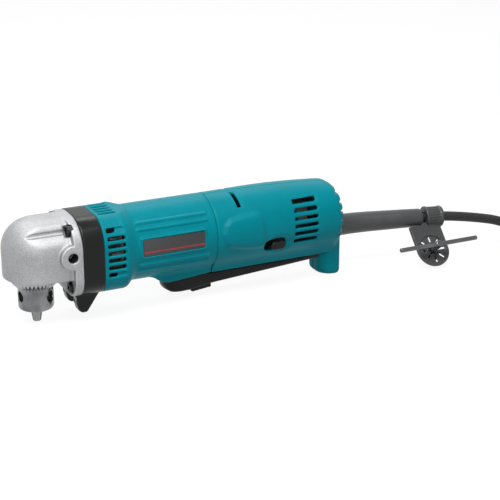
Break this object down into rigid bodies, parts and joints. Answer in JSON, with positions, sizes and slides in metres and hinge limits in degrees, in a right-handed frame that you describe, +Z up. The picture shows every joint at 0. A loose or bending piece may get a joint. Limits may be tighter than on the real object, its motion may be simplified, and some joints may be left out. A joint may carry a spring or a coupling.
{
  "type": "right angle drill",
  "caption": "Corded right angle drill with a keyed chuck under a cast gear head, a lamp collar, a round motor tube and a paddle lever below the handle.",
  "frame": {"origin": "centre of the chuck mouth, where the jaws end", "axes": "+X from the chuck towards the cord, +Z up along the spindle towards the head's top, -Y towards the side with the reversing button"},
  "size_m": [0.5663, 0.1072, 0.0755],
  "materials": {
    "cast_aluminium": "cast",
    "steel": "ground",
    "black_steel": "black oxide",
    "teal_plastic": "fine grain",
    "black_plastic": "fine grain",
    "rubber": "matt",
    "copper": "enamelled wire",
    "brass": "plain",
    "laminations": "stacked sheet",
    "carbon": "pressed",
    "lens": "clear",
    "plate": "satin",
    "grey_plastic": "plain",
    "red_plastic": "plain"
  },
  "bodies": {
    "housing": {"gear_housing": "cast_aluminium", "head_screws": "black_steel", "spindle_bearing": "steel", "spindle_bush": "brass", "pinion_bearing_front": "steel", "pinion_bearing_rear": "steel", "lamp_collar": "black_plastic", "lamp_lenses": "lens", "motor_housing": "teal_plastic", "name_plate": "plate", "armature_bearing_front": "steel", "armature_bearing_rear": "steel", "stator": "laminations", "field_coils": "copper", "brush_holders": "brass", "brushes": "carbon", "brush_springs": "steel", "handle_left": "teal_plastic", "handle_right": "teal_plastic", "handle_screws": "black_steel", "switch": "black_plastic", "speed_control": "grey_plastic", "lever_pin": "steel", "lever_spring": "steel", "strain_clamp": "black_plastic", "strain_screws": "steel", "cord_guard": "rubber", "cord": "rubber", "cord_coil": "rubber", "coil_tie": "black_plastic", "plug": "rubber", "plug_pins": "brass", "key_holder": "rubber"},
    "spindle": {"spindle": "steel", "bevel_gear": "steel"},
    "sleeve": {"chuck_sleeve": "steel"},
    "jaw_1": {"jaw_1": "steel"},
    "jaw_2": {"jaw_2": "steel"},
    "jaw_3": {"jaw_3": "steel"},
    "pinion": {"pinion_shaft": "steel", "spur_wheel": "steel"},
    "armature": {"armature_shaft": "steel", "armature_core": "laminations", "armature_windings": "copper", "commutator": "copper", "fan": "black_plastic"},
    "lever": {"lever": "black_plastic"},
    "lock": {"lock_button": "black_plastic"},
    "reverser": {"reverse_button": "black_plastic"},
    "plunger": {"switch_plunger": "red_plastic"},
    "key": {"chuck_key": "steel"}
  },
  "joints": [
    {"name": "armature_spin", "type": "hinge", "parent": "housing", "child": "armature", "pos_m": [0.06, 0, 0.0475], "axis": [1, 0, 0], "continuous": true},
    {"name": "pinion_spin", "type": "hinge", "parent": "housing", "child": "pinion", "pos_m": [0.03, 0, 0.06], "axis": [1, 0, 0], "continuous": true},
    {"name": "spindle_spin", "type": "hinge", "parent": "housing", "child": "spindle", "pos_m": [0, 0, 0.03], "axis": [0, 0, 1], "continuous": true},
    {"name": "sleeve_turn", "type": "hinge", "parent": "spindle", "child": "sleeve", "pos_m": [0, 0, 0.03], "axis": [0, 0, 1], "range_deg": [-420, 3700]},
    {"name": "jaw_1_slide", "type": "slide", "parent": "spindle", "child": "jaw_1", "axis": [0.2215, 0.0391, 0.9744], "range_m": [-0.00176, 0.01543]},
    {"name": "jaw_2_slide", "type": "slide", "parent": "spindle", "child": "jaw_2", "axis": [-0.1446, 0.1723, 0.9744], "range_m": [-0.00176, 0.01543]},
    {"name": "jaw_3_slide", "type": "slide", "parent": "spindle", "child": "jaw_3", "axis": [-0.0769, -0.2114, 0.9744], "range_m": [-0.00176, 0.01543]},
    {"name": "lever_press", "type": "hinge", "parent": "housing", "child": "lever", "pos_m": [0.214, 0, 0.0216], "axis": [0, 1, 0], "range_deg": [0, 1.6], "stiffness_Nm_per_rad": 12, "springref_deg": -1.15, "deforming": ["lever_spring"]},
    {"name": "plunger_slide", "type": "slide", "parent": "housing", "child": "plunger", "axis": [0, 0, 1], "range_m": [0, 0.00138]},
    {"name": "lock_slide", "type": "slide", "parent": "lever", "child": "lock", "axis": [-0.9946, 0, -0.1042], "range_m": [0, 0.003]},
    {"name": "reverse_slide", "type": "slide", "parent": "housing", "child": "reverser", "axis": [-1, 0, 0], "range_m": [0, 0.0045]},
    {"name": "key_turn", "type": "hinge", "parent": "housing", "child": "key", "pos_m": [0.309, -0.03047, 0.01308], "axis": [0, -0.7431, 0.6691], "range_deg": [-45, 45]}
  ],
  "couplings": [
    {"joint": "pinion_spin", "follows": "armature_spin", "ratio": -0.30769},
    {"joint": "spindle_spin", "follows": "armature_spin", "ratio": -0.11538},
    {"joint": "plunger_slide", "follows": "lever_press", "m_per_rad": 0.049},
    {"joint": "jaw_1_slide", "follows": "sleeve_turn", "m_per_rad": 0.00023873},
    {"joint": "jaw_2_slide", "follows": "sleeve_turn", "m_per_rad": 0.00023873},
    {"joint": "jaw_3_slide", "follows": "sleeve_turn", "m_per_rad": 0.00023873}
  ]
}
